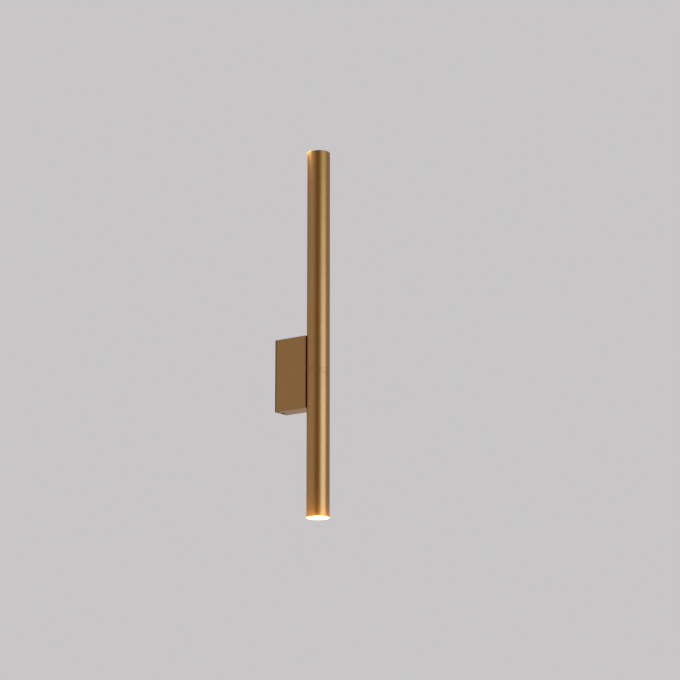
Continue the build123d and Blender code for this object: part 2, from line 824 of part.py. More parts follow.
def light():
    """All the pieces of the light by name."""
    pieces = {
        "wall_bracket": wall_bracket(),
        "cable_grommet": cable_grommet(),
        "terminal_block": terminal_block(),
        "terminal_inserts": terminal_inserts(),
        "terminal_screws": terminal_screws(),
        "terminal_fixing_screw": terminal_fixing_screw(),
        "earth_screw": earth_screw(),
        "earth_lug": earth_lug(),
        "earth_wire": earth_wire(),
        "mounting_box": mounting_box(),
        "box_grub_screw": box_grub_screw(),
        "wire_bush": wire_bush(),
        "tube_fixing_screws": tube_fixing_screws(),
        "tube_fixing_washers": tube_fixing_washers(),
        "coupling_core": coupling_core(),
        "upper_tube": tube(upper_reach, 1),
        "lower_tube": tube(lower_reach, -1),
    }
    ends = {
        "upper": (1, upper_reach, Pos(0, axis_y, upper_reach)),
        "lower": (-1, lower_reach, Pos(0, axis_y, -lower_reach) * Rot(180, 0, 0)),
    }
    for end, (side, reach, place) in ends.items():
        pieces[f"{end}_stem"] = place * stem(reach)
        for name, shape in lamp_end().items():
            solids = shape if isinstance(shape, list) else [shape]
            pieces[f"{end}_{name}"] = [place * solid for solid in solids]
        pieces[f"{end}_live_wire"] = lamp_wire(f"{end}_live_wire", side, reach, -pole_pitch)
        pieces[f"{end}_neutral_wire"] = lamp_wire(f"{end}_neutral_wire", side, reach, pole_pitch)
    return pieces


os.makedirs("parts", exist_ok=True)
for node, shape in light().items():
    if isinstance(shape, list):
        shape = shape[0] if len(shape) == 1 else Compound(children=shape)
    export_step(shape, f"parts/{node}.step")
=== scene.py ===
import math
import bmesh
import bpy
from mathutils import Matrix, Vector


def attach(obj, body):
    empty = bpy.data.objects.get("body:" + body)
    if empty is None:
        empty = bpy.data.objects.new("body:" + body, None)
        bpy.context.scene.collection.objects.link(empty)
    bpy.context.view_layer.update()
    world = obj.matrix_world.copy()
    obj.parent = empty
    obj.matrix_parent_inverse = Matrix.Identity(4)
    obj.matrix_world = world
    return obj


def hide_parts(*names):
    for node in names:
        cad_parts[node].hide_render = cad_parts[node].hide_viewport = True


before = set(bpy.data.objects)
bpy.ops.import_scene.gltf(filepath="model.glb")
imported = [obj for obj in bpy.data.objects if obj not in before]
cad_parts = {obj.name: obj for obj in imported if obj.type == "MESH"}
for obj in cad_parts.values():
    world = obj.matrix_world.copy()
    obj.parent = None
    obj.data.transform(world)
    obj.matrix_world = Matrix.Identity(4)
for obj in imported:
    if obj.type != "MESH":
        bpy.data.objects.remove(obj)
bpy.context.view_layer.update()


# ---------------------------------------------------------------- wall bracket
# Steel strip, zinc-plated and passivated, folded into a plate with a hook above
# and a tapped flange below. Two screws through its slots hold it to the wall.

class Value:
    """A number that varies over a surface. Arithmetic on it adds Math nodes."""

    def __init__(self, finish, socket):
        self.finish = finish
        self.socket = socket

    def worked(self, operation, first, second):
        return self.finish.node("ShaderNodeMath", {0: first, 1: second}, operation=operation)

    def __add__(self, other):
        return self.worked("ADD", self, other)

    def __sub__(self, other):
        return self.worked("SUBTRACT", self, other)

    def __rsub__(self, other):
        return self.worked("SUBTRACT", other, self)

    def __mul__(self, other):
        return self.worked("MULTIPLY", self, other)

    __radd__ = __add__
    __rmul__ = __mul__


class Finish:
    """A material on one Principled shader, whose varying values come from nodes."""

    coordinates = "Object"

    def __init__(self, name, **settings):
        self.material = bpy.data.materials.new(name)
        self.material.use_nodes = True
        self.tree = self.material.node_tree
        self.shader = self.tree.nodes["Principled BSDF"]
        for socket, value in settings.items():
            self.put(socket.replace("_", " "), value)

    def put(self, socket, value):
        """Sets a socket of the shader, or links a varying value to it."""
        self.join(self.shader.inputs[socket], value)

    def join(self, target, value):
        """Sets any socket, or links a varying value to it."""
        if isinstance(value, Value):
            self.tree.links.new(value.socket, target)
        else:
            target.default_value = value

    def node(self, kind, inputs=None, output=0, **settings):
        """Adds any node: its settings first, then the values or links of its sockets."""
        made = self.tree.nodes.new(kind)
        for setting, value in settings.items():
            setattr(made, setting, value)
        for socket, value in (inputs or {}).items():
            self.join(made.inputs[socket], value)
        return Value(self, made.outputs[output])

    def here(self):
        """The place on the piece, in metres."""
        return self.node("ShaderNodeTexCoord", output=self.coordinates)

    def along(self, axis):
        """One coordinate: X across the wall, Y towards it and Z upwards."""
        return self.node("ShaderNodeSeparateXYZ", {0: self.here()}, axis)

    def noise(self, scale, detail=2.0, stretch=(1, 1, 1)):
        """Soft noise with that many cells to the metre, squeezed along an axis."""
        place = self.node("ShaderNodeMapping", {"Vector": self.here(), "Scale": stretch})
        return self.node("ShaderNodeTexNoise", {"Vector": place, "Scale": scale, "Detail": detail})

    def ramp(self, value, low, high):
        """Stretches the band from low to high of a value to 0 to 1."""
        ends_of_band = {"Value": value, "From Min": low, "From Max": high}
        return self.node("ShaderNodeMapRange", ends_of_band, clamp=True)

    def mixed(self, share, first, second):
        """Two colours mixed by a share. Sockets 6 and 7 of the node are its colours."""
        return self.node("ShaderNodeMix", {0: share, 6: first, 7: second}, 2, data_type="RGBA")

    def shaded(self, share, dark, light):
        """A base colour between two tones, each given as red, green and blue."""
        self.put("Base Color", self.mixed(share, (*dark, 1), (*light, 1)))

    def bumped(self, height, distance):
        """A fine relief on the surface, from a height of 0 to 1 and its depth in metres."""
        self.put("Normal", self.node("ShaderNodeBump", {"Height": height, "Distance": distance}))


def painted(node, finish):
    """Gives a node of the frame its finish."""
    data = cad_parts[node].data
    data.materials.clear()
    data.materials.append(finish.material)


zinc = Finish("zinc_plated_steel", Metallic=1.0)
zinc.shaded(zinc.noise(160, 3), (0.50, 0.51, 0.50), (0.68, 0.68, 0.66))
zinc.put("Roughness", 0.28 + zinc.noise(420, 4) * 0.22)
zinc.bumped(zinc.noise(2600, 2), 0.00002)
painted("wall_bracket", zinc)


# ------------------------------------------------- cable grommet and wire bush
# Moulded black rubber with rounded lips. The grommet lines the cable hole of the
# bracket, the bush the wire hole of the box. Both are pressed in by hand.

millimetre = 0.001
touch, weld = 0.001, 0.0001         # how close two places are to count as one, and to be joined
smooth_up_to = math.radians(35)


def turned(corners, rounds=(), steps=96):
    """Turns an outline of (radius, height) corners round Z and rounds some of them, in millimetres."""
    shape = bmesh.new()
    places = [shape.verts.new((radius, 0, height)) for radius, height in corners]
    pairs = list(zip(places, places[1:]))
    if corners[0][0] > 0 or corners[-1][0] > 0:
        pairs.append((places[-1], places[0]))
    edges = [shape.edges.new(pair) for pair in pairs]
    bmesh.ops.spin(shape, geom=places + edges, cent=(0, 0, 0), axis=(0, 0, 1), angle=math.tau,
                   steps=steps, use_merge=True)
    bmesh.ops.remove_doubles(shape, verts=shape.verts, dist=weld)
    bmesh.ops.recalc_face_normals(shape, faces=shape.faces)
    for (radius, height), size in rounds:
        ring = [edge for edge in shape.edges
                if all(abs(corner.co.z - height) < touch and abs(corner.co.xy.length - radius) < touch
                       for corner in edge.verts)]
        bmesh.ops.bevel(shape, geom=ring, offset=size, segments=4, profile=0.5, affect="EDGES",
                        material=-1)
    return shape


def finished(name, shape, finish, body, node=None):
    """Makes a shape in millimetres a piece of the light, which may stand for a node of the frame."""
    bmesh.ops.scale(shape, vec=(millimetre,) * 3, verts=shape.verts)
    data = bpy.data.meshes.new(name)
    shape.to_mesh(data)
    shape.free()
    data.shade_smooth()
    data.set_sharp_from_angle(angle=smooth_up_to)
    data.materials.append(finish.material)
    piece = bpy.data.objects.new(name, data)
    bpy.context.scene.collection.objects.link(piece)
    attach(piece, body)
    if node:
        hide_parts(node)
    return piece


def tipped(shape, angle):
    """Turns a shape about X by an angle in degrees."""
    turn = Matrix.Rotation(math.radians(angle), 3, "X")
    bmesh.ops.rotate(shape, cent=(0, 0, 0), matrix=turn, verts=shape.verts)
    return shape


def laid(shape, up=0.0):
    """Lays a shape along Y, at a height, with its own heights as distances from the wall."""
    tipped(shape, 90)
    bmesh.ops.translate(shape, verts=shape.verts, vec=(0, 0, up))
    return shape


rubber = Finish("black_rubber", Specular_IOR_Level=0.3)
dust = rubber.noise(240, 4)
rubber.shaded(dust, (0.014, 0.012, 0.009), (0.040, 0.034, 0.026))
rubber.put("Roughness", 0.62 + dust * 0.2)
rubber.bumped(rubber.noise(3200, 2), 0.00004)

cable_height = 24.0
bore, neck, flange, sleeve = 4.5, 6.5, 8.5, 5.5
plate, flange_front, front = 1.5, 3.0, 6.0
grommet_corners = [(bore, 0), (neck, 0), (neck, plate), (flange, plate), (flange, flange_front),
                   (sleeve, flange_front), (sleeve, front), (bore, front)]
grommet_lips = [((flange, flange_front), 0.7), ((flange, plate), 0.3), ((sleeve, front), 0.4),
                ((bore, front), 0.4), ((bore, 0), 0.5)]
grommet = laid(turned(grommet_corners, grommet_lips), cable_height)
finished("cable_grommet_moulded", grommet, rubber, "fixture", "cable_grommet")

bore, flange, sleeve = 3.2, 6.0, 4.5
back, flange_front, front = 56.6, 57.8, 61.0
bush_corners = [(bore, back), (flange, back), (flange, flange_front), (sleeve, flange_front),
                (sleeve, front), (bore, front)]
bush_lips = [((flange, back), 0.5), ((bore, back), 0.4), ((bore, front), 0.3)]
bush = laid(turned(bush_corners, bush_lips, steps=64))
finished("wire_bush_moulded", bush, rubber, "fixture", "wire_bush")


# -------------------------------------------------------------- terminal block
# Moulded white polyamide with brass tubes and slotted steel clamp screws. One
# screw between two towers holds it to the bracket.

polyamide = Finish("white_polyamide", Subsurface_Weight=0.05)
polyamide.shaded(polyamide.noise(90), (0.74, 0.74, 0.70), (0.83, 0.83, 0.79))
polyamide.put("Roughness", 0.42 + polyamide.noise(700) * 0.14)
polyamide.bumped(polyamide.noise(4200), 0.000015)
painted("terminal_block", polyamide)

brass = Finish("turned_brass", Metallic=1.0)
brass.shaded(brass.noise(300, 3), (0.66, 0.45, 0.17), (0.80, 0.60, 0.27))
brass.put("Roughness", 0.22 + brass.noise(900, stretch=(1, 1, 14)) * 0.22)
painted("terminal_inserts", brass)

painted("terminal_screws", zinc)
painted("terminal_fixing_screw", zinc)


# ------------------------------------------------------------- earth lug, lead
# Tinned copper ring terminal under a screw of the bracket, crimped to a lead
# with green silicone rubber that has two yellow stripes.

tinned = Finish("tinned_copper", Metallic=1.0)
tinned.shaded(tinned.noise(500), (0.60, 0.58, 0.55), (0.74, 0.72, 0.70))
tinned.put("Roughness", 0.25 + tinned.noise(1400) * 0.2)
painted("earth_lug", tinned)
painted("earth_screw", zinc)

plain_within, striped_beyond = 0.00055, 0.0006      # metres from the middle of the wire


def insulated(name, dark, light, stripes=None):
    """Silicone rubber insulation, dull and slightly dusty. It may have a stripe down each side."""
    skin = Finish(name)
    colour = skin.mixed(skin.noise(350, 3), (*dark, 1), (*light, 1))
    if stripes:
        aside = skin.along("X")
        striped = skin.ramp(aside * aside, plain_within ** 2, striped_beyond ** 2)
        colour = skin.mixed(striped, colour, (*stripes, 1))
    skin.put("Base Color", colour)
    skin.put("Roughness", 0.5 + skin.noise(1200) * 0.2)
    return skin


earth_skin = insulated("earth_insulation", (0.10, 0.30, 0.03), (0.14, 0.38, 0.05), (0.72, 0.56, 0.04))
live_skin = insulated("live_insulation", (0.10, 0.035, 0.012), (0.16, 0.06, 0.022))
neutral_skin = insulated("neutral_insulation", (0.02, 0.07, 0.26), (0.03, 0.11, 0.36))
painted("earth_wire", earth_skin)


# ---------------------------------------------------------------- mounting box
# Cast aluminium box, open at the wall, with a saddle for the tubes. It is sprayed
# in a satin champagne bronze: fine metal flake under a thin clear coat.

def sprayed(name, dark, light):
    """The bronze paint between two tones, and its colour."""
    paint = Finish(name, Metallic=0.95, Specular_Tint=(0.2, 0.2, 0.2, 1), Coat_Roughness=0.30,
                   Coat_Weight=1.0, Coat_IOR=1.5)
    flake = paint.node("ShaderNodeTexVoronoi", {"Vector": paint.here(), "Scale": 2600.0}, "Color")
    flake = paint.node("ShaderNodeSeparateColor", {0: flake})
    tone = paint.noise(14, 2) * 0.5 + flake * 0.5
    colour = paint.mixed(tone, (*dark, 1), (*light, 1))
    paint.put("Base Color", colour)
    paint.put("Roughness", 0.44 + paint.noise(1800) * 0.08)
    paint.bumped(paint.noise(2200, 3), 0.000012)
    return paint, colour


# The box takes the tubes' bronze in darker tones: painted shade from the wall beside the box.
bronze, _ = sprayed("bronze_darkened_for_painted_shade", (0.388, 0.186, 0.034), (0.452, 0.223, 0.050))
painted("mounting_box", bronze)


# ------------------------------------------------------------------- painted shadow gap
# Thin dark strip in black rubber round the open rim of the box: painted shade
# for the shadow gap at the wall. It shows as a dark line down the wall side.

box_width, box_height = 34.0, 128.0
shade_strip_proud, shade_strip_off_wall = 0.12, 0.02
band, band_front = 2.1, 0.48        # the part on the rim
lip, lip_front = 0.11, 1.98         # the part over the sides
shade_strip_corner = 0.7


def corners_of(made):
    """The corners among what an operator made."""
    return [part for part in made if isinstance(part, bmesh.types.BMVert)]


def is_post(edge, aside, high):
    """Whether an edge stands on a corner of the rectangle with these half sizes."""
    foot, top = (corner.co for corner in edge.verts)
    on_corner = abs(abs(foot.x) - aside) < touch and abs(abs(foot.y) - high) < touch
    return on_corner and (foot - top).xy.length < touch


def shade_strip_shape(aside, high):
    """Dark strip of painted shade with these half sizes, L-shaped in section: a band and a lip over the
    outside.
    """
    shape = bmesh.new()
    bmesh.ops.create_grid(shape, x_segments=1, y_segments=1, size=1)
    bmesh.ops.scale(shape, vec=(aside, high, 1), verts=shape.verts)
    rings = []
    for breadth in (lip, band - lip):
        inside = [face for face in shape.faces if face not in rings]
        rings += bmesh.ops.inset_region(shape, faces=inside, thickness=breadth, use_boundary=True,
                                        use_even_offset=True)["faces"]
    inside = [face for face in shape.faces if face not in rings]
    bmesh.ops.delete(shape, geom=inside, context="FACES")
    raised = bmesh.ops.extrude_face_region(shape, geom=shape.faces[:], use_keep_orig=True)["geom"]
    bmesh.ops.translate(shape, verts=corners_of(raised), vec=(0, 0, band_front))
    outer = []
    for face in (part for part in raised if isinstance(part, bmesh.types.BMFace)):
        middle = face.calc_center_median()
        if abs(middle.x) > aside - lip or abs(middle.y) > high - lip:
            outer.append(face)
    raised = bmesh.ops.extrude_face_region(shape, geom=outer)["geom"]
    bmesh.ops.delete(shape, geom=outer, context="FACES")
    bmesh.ops.translate(shape, verts=corners_of(raised), vec=(0, 0, lip_front - band_front))
    for indent in (0, lip):
        posts = [edge for edge in shape.edges if is_post(edge, aside - indent, high - indent)]
        bmesh.ops.bevel(shape, geom=posts, offset=shade_strip_corner - indent, segments=5, profile=0.5,
                        affect="EDGES", material=-1)
    bmesh.ops.recalc_face_normals(shape, faces=shape.faces)
    return laid(shape)


shade_strip = shade_strip_shape(box_width / 2 + shade_strip_proud, box_height / 2 + shade_strip_proud)
bmesh.ops.translate(shade_strip, verts=shade_strip.verts, vec=(0, -shade_strip_off_wall, 0))
finished("box_edge_shade_strip", shade_strip, rubber, "fixture")


# ----------------------------------------------------------------------- tubes
# Two drawn aluminium tubes, 40 mm across with a 1.5 mm wall, faced and rounded at
# the rim, and sprayed on the outside only. A screw from the box holds each one.

tube_axis = -81.0
tube_radius, tube_bore = 20.0, 18.5
tube_foot = 4.1                                     # beside the collar
foot_ring, rim_ring, bore_ring = 0.8, 1.2, 1.0      # rings of the mesh beside the rounded edges
rims = {"upper": 395.0, "lower": 255.0}             # how far each rim is from the box's middle
screw_heights = {"upper": 22.0, "lower": -22.0}
screw_hole, screw_hole_deep = 4.5, 6.0
bare_within, painted_beyond = 0.0193, 0.0195        # metres from the axis

tube_paint, tube_colour = sprayed("bronze_on_tubes", (0.465, 0.218, 0.042), (0.540, 0.262, 0.062))


def off_axis(finish):
    """The square of the distance from the tubes' axis, in metres."""
    across, out = finish.along("X"), finish.along("Y") - tube_axis * millimetre
    return across * across + out * out


outside = tube_paint.ramp(off_axis(tube_paint), bare_within ** 2, painted_beyond ** 2)
turning = tube_paint.noise(60, 3, (1, 1, 90))
bare_metal = tube_paint.mixed(turning, (0.66, 0.66, 0.67, 1), (0.80, 0.80, 0.81, 1))
tube_paint.put("Base Color", tube_paint.mixed(outside, bare_metal, tube_colour))
tube_paint.put("Coat Weight", outside)


def at_end(shape, end, out=0.0):
    """Puts a shape on the tubes' axis, that far out, and turned over for the lower end."""
    if end == "lower":
        tipped(shape, 180)
        out = -out
    bmesh.ops.translate(shape, verts=shape.verts, vec=(0, tube_axis, out))
    return shape


def at_rim(shape, end):
    """Puts a shape on the tubes' axis, with its heights counted outwards from the rim."""
    return at_end(shape, end, rims[end])


def drilled(piece, diameter, place, depth):
    """Drills a hole along Y through a piece, at a place in millimetres."""
    drill = bmesh.new()
    bmesh.ops.create_cone(drill, cap_ends=True, segments=40, radius1=diameter / 2,
                          radius2=diameter / 2, depth=depth)
    tipped(drill, 90)
    bmesh.ops.translate(drill, verts=drill.verts, vec=place)
    bmesh.ops.scale(drill, vec=(millimetre,) * 3, verts=drill.verts)
    data = bpy.data.meshes.new("drill")
    drill.to_mesh(data)
    drill.free()
    cutter = bpy.data.objects.new("drill", data)
    bpy.context.scene.collection.objects.link(cutter)
    cut = piece.modifiers.new("hole", "BOOLEAN")
    cut.operation = "DIFFERENCE"
    cut.solver = "EXACT"
    cut.object = cutter
    view = bpy.context.evaluated_depsgraph_get()
    whole = piece.data
    piece.data = bpy.data.meshes.new_from_object(piece.evaluated_get(view))
    piece.modifiers.clear()
    bpy.data.objects.remove(cutter)
    bpy.data.meshes.remove(data)
    bpy.data.meshes.remove(whole)
    piece.data.name = piece.name


for end, reach in rims.items():
    tube_corners = [(tube_bore, tube_foot), (tube_radius, tube_foot), (tube_radius, tube_foot + foot_ring),
                    (tube_radius, reach - rim_ring), (tube_radius, reach), (tube_bore, reach),
                    (tube_bore, reach - bore_ring)]
    tube_rounds = [((tube_radius, reach), 0.5), ((tube_radius, tube_foot), 0.1), ((tube_bore, reach), 0.2)]
    tube = at_end(turned(tube_corners, tube_rounds, steps=160), end)
    tube = finished(f"{end}_tube_drawn", tube, tube_paint, "fixture", f"{end}_tube")
    wall_of_tube = tube_axis + tube_radius - 1
    drilled(tube, screw_hole, (0, wall_of_tube, screw_heights[end]), screw_hole_deep)


# -------------------------------------------------------------------- coupling
# Turned aluminium bar: its collar shows between the tubes and is sprayed like
# them, and its spigots inside the tubes stay bare, with the marks of the lathe.

painted("coupling_core", tube_paint)


# ------------------------------------------------------------------- set screw
# Blackened steel set screw with a hexagon socket, in the lower flange of the
# bracket. It is turned down with a key through the hole in the underside.

def hexed(shape, radius, flats, slope=0.0):
    """Moves the rings of a radius onto a hexagon; its corners fall away at a slope."""
    for place in shape.verts:
        if abs(place.co.xy.length - radius) < touch:
            angle = math.atan2(place.co.y, place.co.x) % (math.pi / 3) - math.pi / 6
            grown = flats / 2 / math.cos(angle) / radius
            fall = math.copysign((grown * radius - flats / 2) * slope, place.co.z)
            place.co = (place.co.x * grown, place.co.y * grown, place.co.z - fall)


def repeated(shape, places):
    """Copies a shape to each of the places, in millimetres, and drops the first one."""
    first = shape.verts[:] + shape.edges[:] + shape.faces[:]
    for place in places:
        copy = bmesh.ops.duplicate(shape, geom=first)["geom"]
        bmesh.ops.translate(shape, verts=corners_of(copy), vec=place)
    bmesh.ops.delete(shape, geom=first, context="VERTS")
    return shape


def threaded(shape, diameter, pitch, low, high, steps=24):
    """Winds a thread round Z from low to high, with its crest at the diameter."""
    crest = diameter / 2
    root = crest - 0.62 * pitch
    ridge = [(root, 0), (crest, 0.38 * pitch), (crest, 0.5 * pitch), (root, 0.88 * pitch)]
    thread = bmesh.new()
    places = [thread.verts.new((radius, 0, low + height)) for radius, height in ridge]
    edges = [thread.edges.new(pair) for pair in zip(places, places[1:] + places[:1])]
    bmesh.ops.spin(thread, geom=places + edges, cent=(0, 0, 0), axis=(0, 0, 1),
                   dvec=(0, 0, pitch / steps), angle=math.tau, steps=steps)
    repeated(thread, [(0, 0, pitch * turn) for turn in range(int((high - low) / pitch) - 1)])
    bmesh.ops.remove_doubles(thread, verts=thread.verts, dist=weld)
    open_ends = [edge for edge in thread.edges if edge.is_boundary]
    bmesh.ops.holes_fill(thread, edges=open_ends, sides=len(ridge))
    bmesh.ops.recalc_face_normals(thread, faces=thread.faces)
    data = bpy.data.meshes.new("thread")
    thread.to_mesh(data)
    thread.free()
    shape.from_mesh(data)
    bpy.data.meshes.remove(data)


blackened = Finish("blackened_steel", Metallic=1.0)
blackened.shaded(blackened.noise(800), (0.02, 0.02, 0.02), (0.05, 0.05, 0.05))
blackened.put("Roughness", 0.4 + blackened.noise(1500) * 0.2)

set_core, set_socket, set_length = 2.4, 1.6, 6.0
set_place = (0, -5.8, -57.6)
set_corners = [(0, 0), (set_core - 0.5, 0), (set_core, 0.5), (set_core, set_length - 0.4),
               (set_core - 0.4, set_length), (set_socket, set_length), (set_socket, 3.5), (0, 3.1)]
set_screw = turned(set_corners, steps=48)
hexed(set_screw, set_socket, flats=3.0)
threaded(set_screw, diameter=6.0, pitch=1.0, low=0.2, high=5.8)
tipped(set_screw, 180)
bmesh.ops.translate(set_screw, verts=set_screw.verts, vec=set_place)
finished("set_screw_turned", set_screw, blackened, "fixture", "box_grub_screw")


# ------------------------------------------------- tube fixing screws, washers
# Zinc-plated socket-head screws, M4, and their washers. They sit on two bosses
# inside the box and pull the tubes into the saddle.

lead_in, run_out = 0.3, 0.2         # how far a thread keeps from its ends


def socket_screw(diameter, pitch, length, head, height, key):
    """Socket-head screw on its seat at 0, with its head above and its thread below."""
    root, rim, socket = diameter / 2 - 0.6 * pitch, head / 2, key / 2
    corners = [(0, -length), (root - 0.3, -length), (root, 0.4 - length), (root, 0), (rim, 0),
               (rim, height), (socket, height), (socket, height * 0.4), (0, height * 0.3)]
    screw = turned(corners, [((rim, height), 0.35)], steps=48)
    hexed(screw, socket, flats=key)
    threaded(screw, diameter, pitch, low=lead_in - length, high=-run_out)
    return screw


boss = -57.0
fixing_places = [(0, boss, screw_heights["lower"]), (0, boss, screw_heights["upper"])]
fixing = tipped(socket_screw(diameter=4.0, pitch=0.7, length=14, head=7.0, height=4.0, key=3.0), 180)
fixings = repeated(laid(fixing), fixing_places)
finished("tube_screws_cut", fixings, zinc, "fixture", "tube_fixing_screws")

hole, edge, thick = 2.25, 4.5, 0.8
washer = turned([(hole, 0), (edge, 0), (edge, thick), (hole, thick)],
                [((edge, 0), 0.2), ((hole, 0), 0.15)], steps=64)
washers = repeated(laid(washer), fixing_places)
finished("tube_washers_punched", washers, zinc, "fixture", "tube_fixing_washers")


# --------------------------------------------------- stems, discs and standoffs
# Steel stems, threaded at both ends, run from the coupling to a turned disc near
# each rim, clamped by two nuts. Brass pillars on the disc carry the lampholder.

def hexagon_bar(bore, flats, half):
    """Hexagonal nut or pillar about 0, with its corners turned off at both ends."""
    face, chamfer = flats / 2, 0.1
    corners = [(bore, -half), (face - chamfer, -half), (face, chamfer - half), (face, half - chamfer),
               (face - chamfer, half), (bore, half)]
    bar = turned(corners, steps=48)
    hexed(bar, face, flats, slope=0.577)
    return bar


def beside_axis(height):
    """Where the two pillars of an end are, at a height."""
    return [(0, -12.5, height), (0, 12.5, height)]


aluminium = Finish("turned_aluminium", Metallic=1.0)
aluminium.shaded(aluminium.noise(200), (0.70, 0.70, 0.71), (0.80, 0.80, 0.81))
aluminium.put("Roughness", 0.26 + aluminium.noise(1600) * 0.18)

stem_start = 26.0                                   # from the box's middle
stem_bore, stem_nose, stem_root, stem_radius = 3.7, 4.3, 4.56, 5.0
stem_thread = 15.0                                  # at the foot
shoulder, stem_top = -87.6, -71.5                   # from the rim, like the heights below
nut_heights = (-74.5, -81.5)
pillar_height, disc_screw_height = -66.5, -79.5
ease = 0.4                                          # chamfers of the stem
for end, reach in rims.items():
    foot = stem_start - reach
    lower_shoulder = foot + stem_thread
    stem = turned([(stem_bore, foot), (stem_nose, foot), (stem_root, foot + ease),
                   (stem_root, lower_shoulder - ease), (stem_radius, lower_shoulder),
                   (stem_radius, shoulder), (stem_root, shoulder + ease),
                   (stem_root, stem_top - ease), (stem_nose, stem_top), (stem_bore, stem_top)], steps=64)
    for low, high in ((foot + lead_in, lower_shoulder), (shoulder + ease, stem_top)):
        threaded(stem, diameter=10.0, pitch=0.75, low=low, high=high - run_out, steps=32)
    finished(f"{end}_stem_threaded", at_rim(stem, end), zinc, "fixture", f"{end}_stem")
    nuts = repeated(hexagon_bar(bore=5.05, flats=14.0, half=2.0), [(0, 0, height) for height in nut_heights])
    finished(f"{end}_nuts_cut", at_rim(nuts, end), zinc, "fixture", f"{end}_stem_nuts")
    pillars = repeated(hexagon_bar(bore=1.55, flats=5.5, half=10.0), beside_axis(pillar_height))
    finished(f"{end}_pillars_cut", at_rim(pillars, end), brass, "fixture", f"{end}_standoffs")
    screw = tipped(socket_screw(diameter=3.0, pitch=0.5, length=8, head=5.4, height=2.6, key=2.25), 180)
    screws = repeated(screw, beside_axis(disc_screw_height))
    finished(f"{end}_pillar_screws_cut", at_rim(screws, end), zinc, "fixture",
             f"{end}_standoff_screws")
    painted(f"{end}_carrier_disc", aluminium)
    painted(f"{end}_live_wire", live_skin)
    painted(f"{end}_neutral_wire", neutral_skin)


# ----------------------------------------------------------------- lampholders
# Glazed ceramic with two keyhole slots, and a phosphor-bronze spring contact in
# the chamber behind each slot. Two screws into the pillars hold it.

ceramic = Finish("glazed_ceramic", Coat_Weight=0.6, Coat_Roughness=0.08)
ceramic.shaded(ceramic.noise(120, 3), (0.78, 0.75, 0.68), (0.86, 0.84, 0.78))
ceramic.put("Roughness", 0.3 + ceramic.noise(500) * 0.15)
ceramic.bumped(ceramic.noise(900), 0.00003)

holder_screw_height = -46.2
for end in rims:
    painted(f"{end}_lampholder", ceramic)
    painted(f"{end}_holder_contacts", brass)
    screw = socket_screw(diameter=3.0, pitch=0.5, length=16, head=5.4, height=2.6, key=2.25)
    screws = repeated(screw, beside_axis(holder_screw_height))
    finished(f"{end}_holder_screws_cut", at_rim(screws, end), zinc, "fixture",
             f"{end}_holder_screws")


# ----------------------------------------------------------------------- lamps
# Twist-lock lamp: white cast heat sink and moulded base with two turned pins,
# and inside it a driver, a board with its light source and an optic.

white_coat = Finish("white_coat")
white_coat.shaded(white_coat.noise(150), (0.78, 0.78, 0.76), (0.85, 0.85, 0.84))
white_coat.put("Roughness", 0.4 + white_coat.noise(1300) * 0.12)
white_coat.bumped(white_coat.noise(3000), 0.00002)
nickel = Finish("nickel_plate", Metallic=1.0)
nickel.shaded(nickel.noise(300), (0.66, 0.63, 0.57), (0.76, 0.73, 0.68))
nickel.put("Roughness", 0.14 + nickel.noise(900) * 0.12)
solder_mask = Finish("solder_mask", Coat_Weight=0.4)
solder_mask.shaded(solder_mask.noise(600), (0.01, 0.09, 0.035), (0.02, 0.16, 0.06))
solder_mask.put("Roughness", 0.35 + solder_mask.noise(1500) * 0.1)
white_mask = Finish("white_solder_mask")
white_mask.shaded(white_mask.noise(400), (0.80, 0.80, 0.78), (0.88, 0.88, 0.86))
white_mask.put("Roughness", 0.4 + white_mask.noise(1500) * 0.1)
phosphor = Finish("phosphor", Emission_Color=(1.0, 0.80, 0.45, 1), Emission_Strength=6.0)
phosphor.shaded(phosphor.noise(900), (0.80, 0.60, 0.10), (0.90, 0.72, 0.18))
metallised = Finish("metallised_reflector", Metallic=1.0)
metallised.shaded(metallised.noise(300), (0.82, 0.82, 0.80), (0.90, 0.90, 0.88))
metallised.put("Roughness", 0.08 + metallised.noise(900) * 0.06)

pin_head, pin_shank = 2.4, 1.4
pin_tip, pin_neck, pin_root = -50, -47, -40         # from the rim
pin_places = [(-5, 0, 0), (5, 0, 0)]
for end in rims:
    painted(f"{end}_lamp_body", white_coat)
    painted(f"{end}_lamp_base", white_coat)
    pin = turned([(0, pin_tip), (pin_head, pin_tip), (pin_head, pin_neck), (pin_shank, pin_neck),
                  (pin_shank, pin_root), (0, pin_root)],
                 [((pin_head, pin_tip), 0.7), ((pin_head, pin_neck), 0.15)], steps=48)
    pins = at_rim(repeated(pin, pin_places), end)
    finished(f"{end}_pins_turned", pins, nickel, f"{end}_lamp", f"{end}_lamp_pins")
    painted(f"{end}_driver_board", solder_mask)
    painted(f"{end}_led_board", white_mask)
    painted(f"{end}_led_chip", phosphor)
    painted(f"{end}_lamp_optic", metallised)


# ---------------------------------------------------------------------- lenses
# Injection-moulded diffuser that snaps into the lamp's rim: a flat flange, a
# groove and a shallow crown with fine concentric rings on its face.

bright_within, dim_beyond = 0.006, 0.0166           # metres from the axis
glow = Finish("lit_lens", Emission_Strength=7.0)
glow.shaded(glow.noise(300), (0.80, 0.78, 0.72), (0.88, 0.86, 0.80))
glow.put("Roughness", 0.25 + glow.noise(1100) * 0.2)
edge_of_lens = glow.ramp(off_axis(glow), bright_within ** 2, dim_beyond ** 2)
glow.put("Emission Color", glow.mixed(edge_of_lens, (1.0, 0.95, 0.86, 1), (0.26, 0.21, 0.13, 1)))

lens_radius, lens_back, flange_face = 16.6, -4.0, -1.8
crown_top, crown_fall = -1.0, 345                   # a radius of 172.5 mm
crown_radii = (14.6, 13.6, 12.6, 10.1, 7.5, 4.9, 2.4, 0.0)
lens_rings = (3.6, 6.2, 8.8, 11.4)
ring_groove = ((0.35, 0.0), (0.0, 0.14), (-0.35, 0.0))      # beside the ring, and into the face


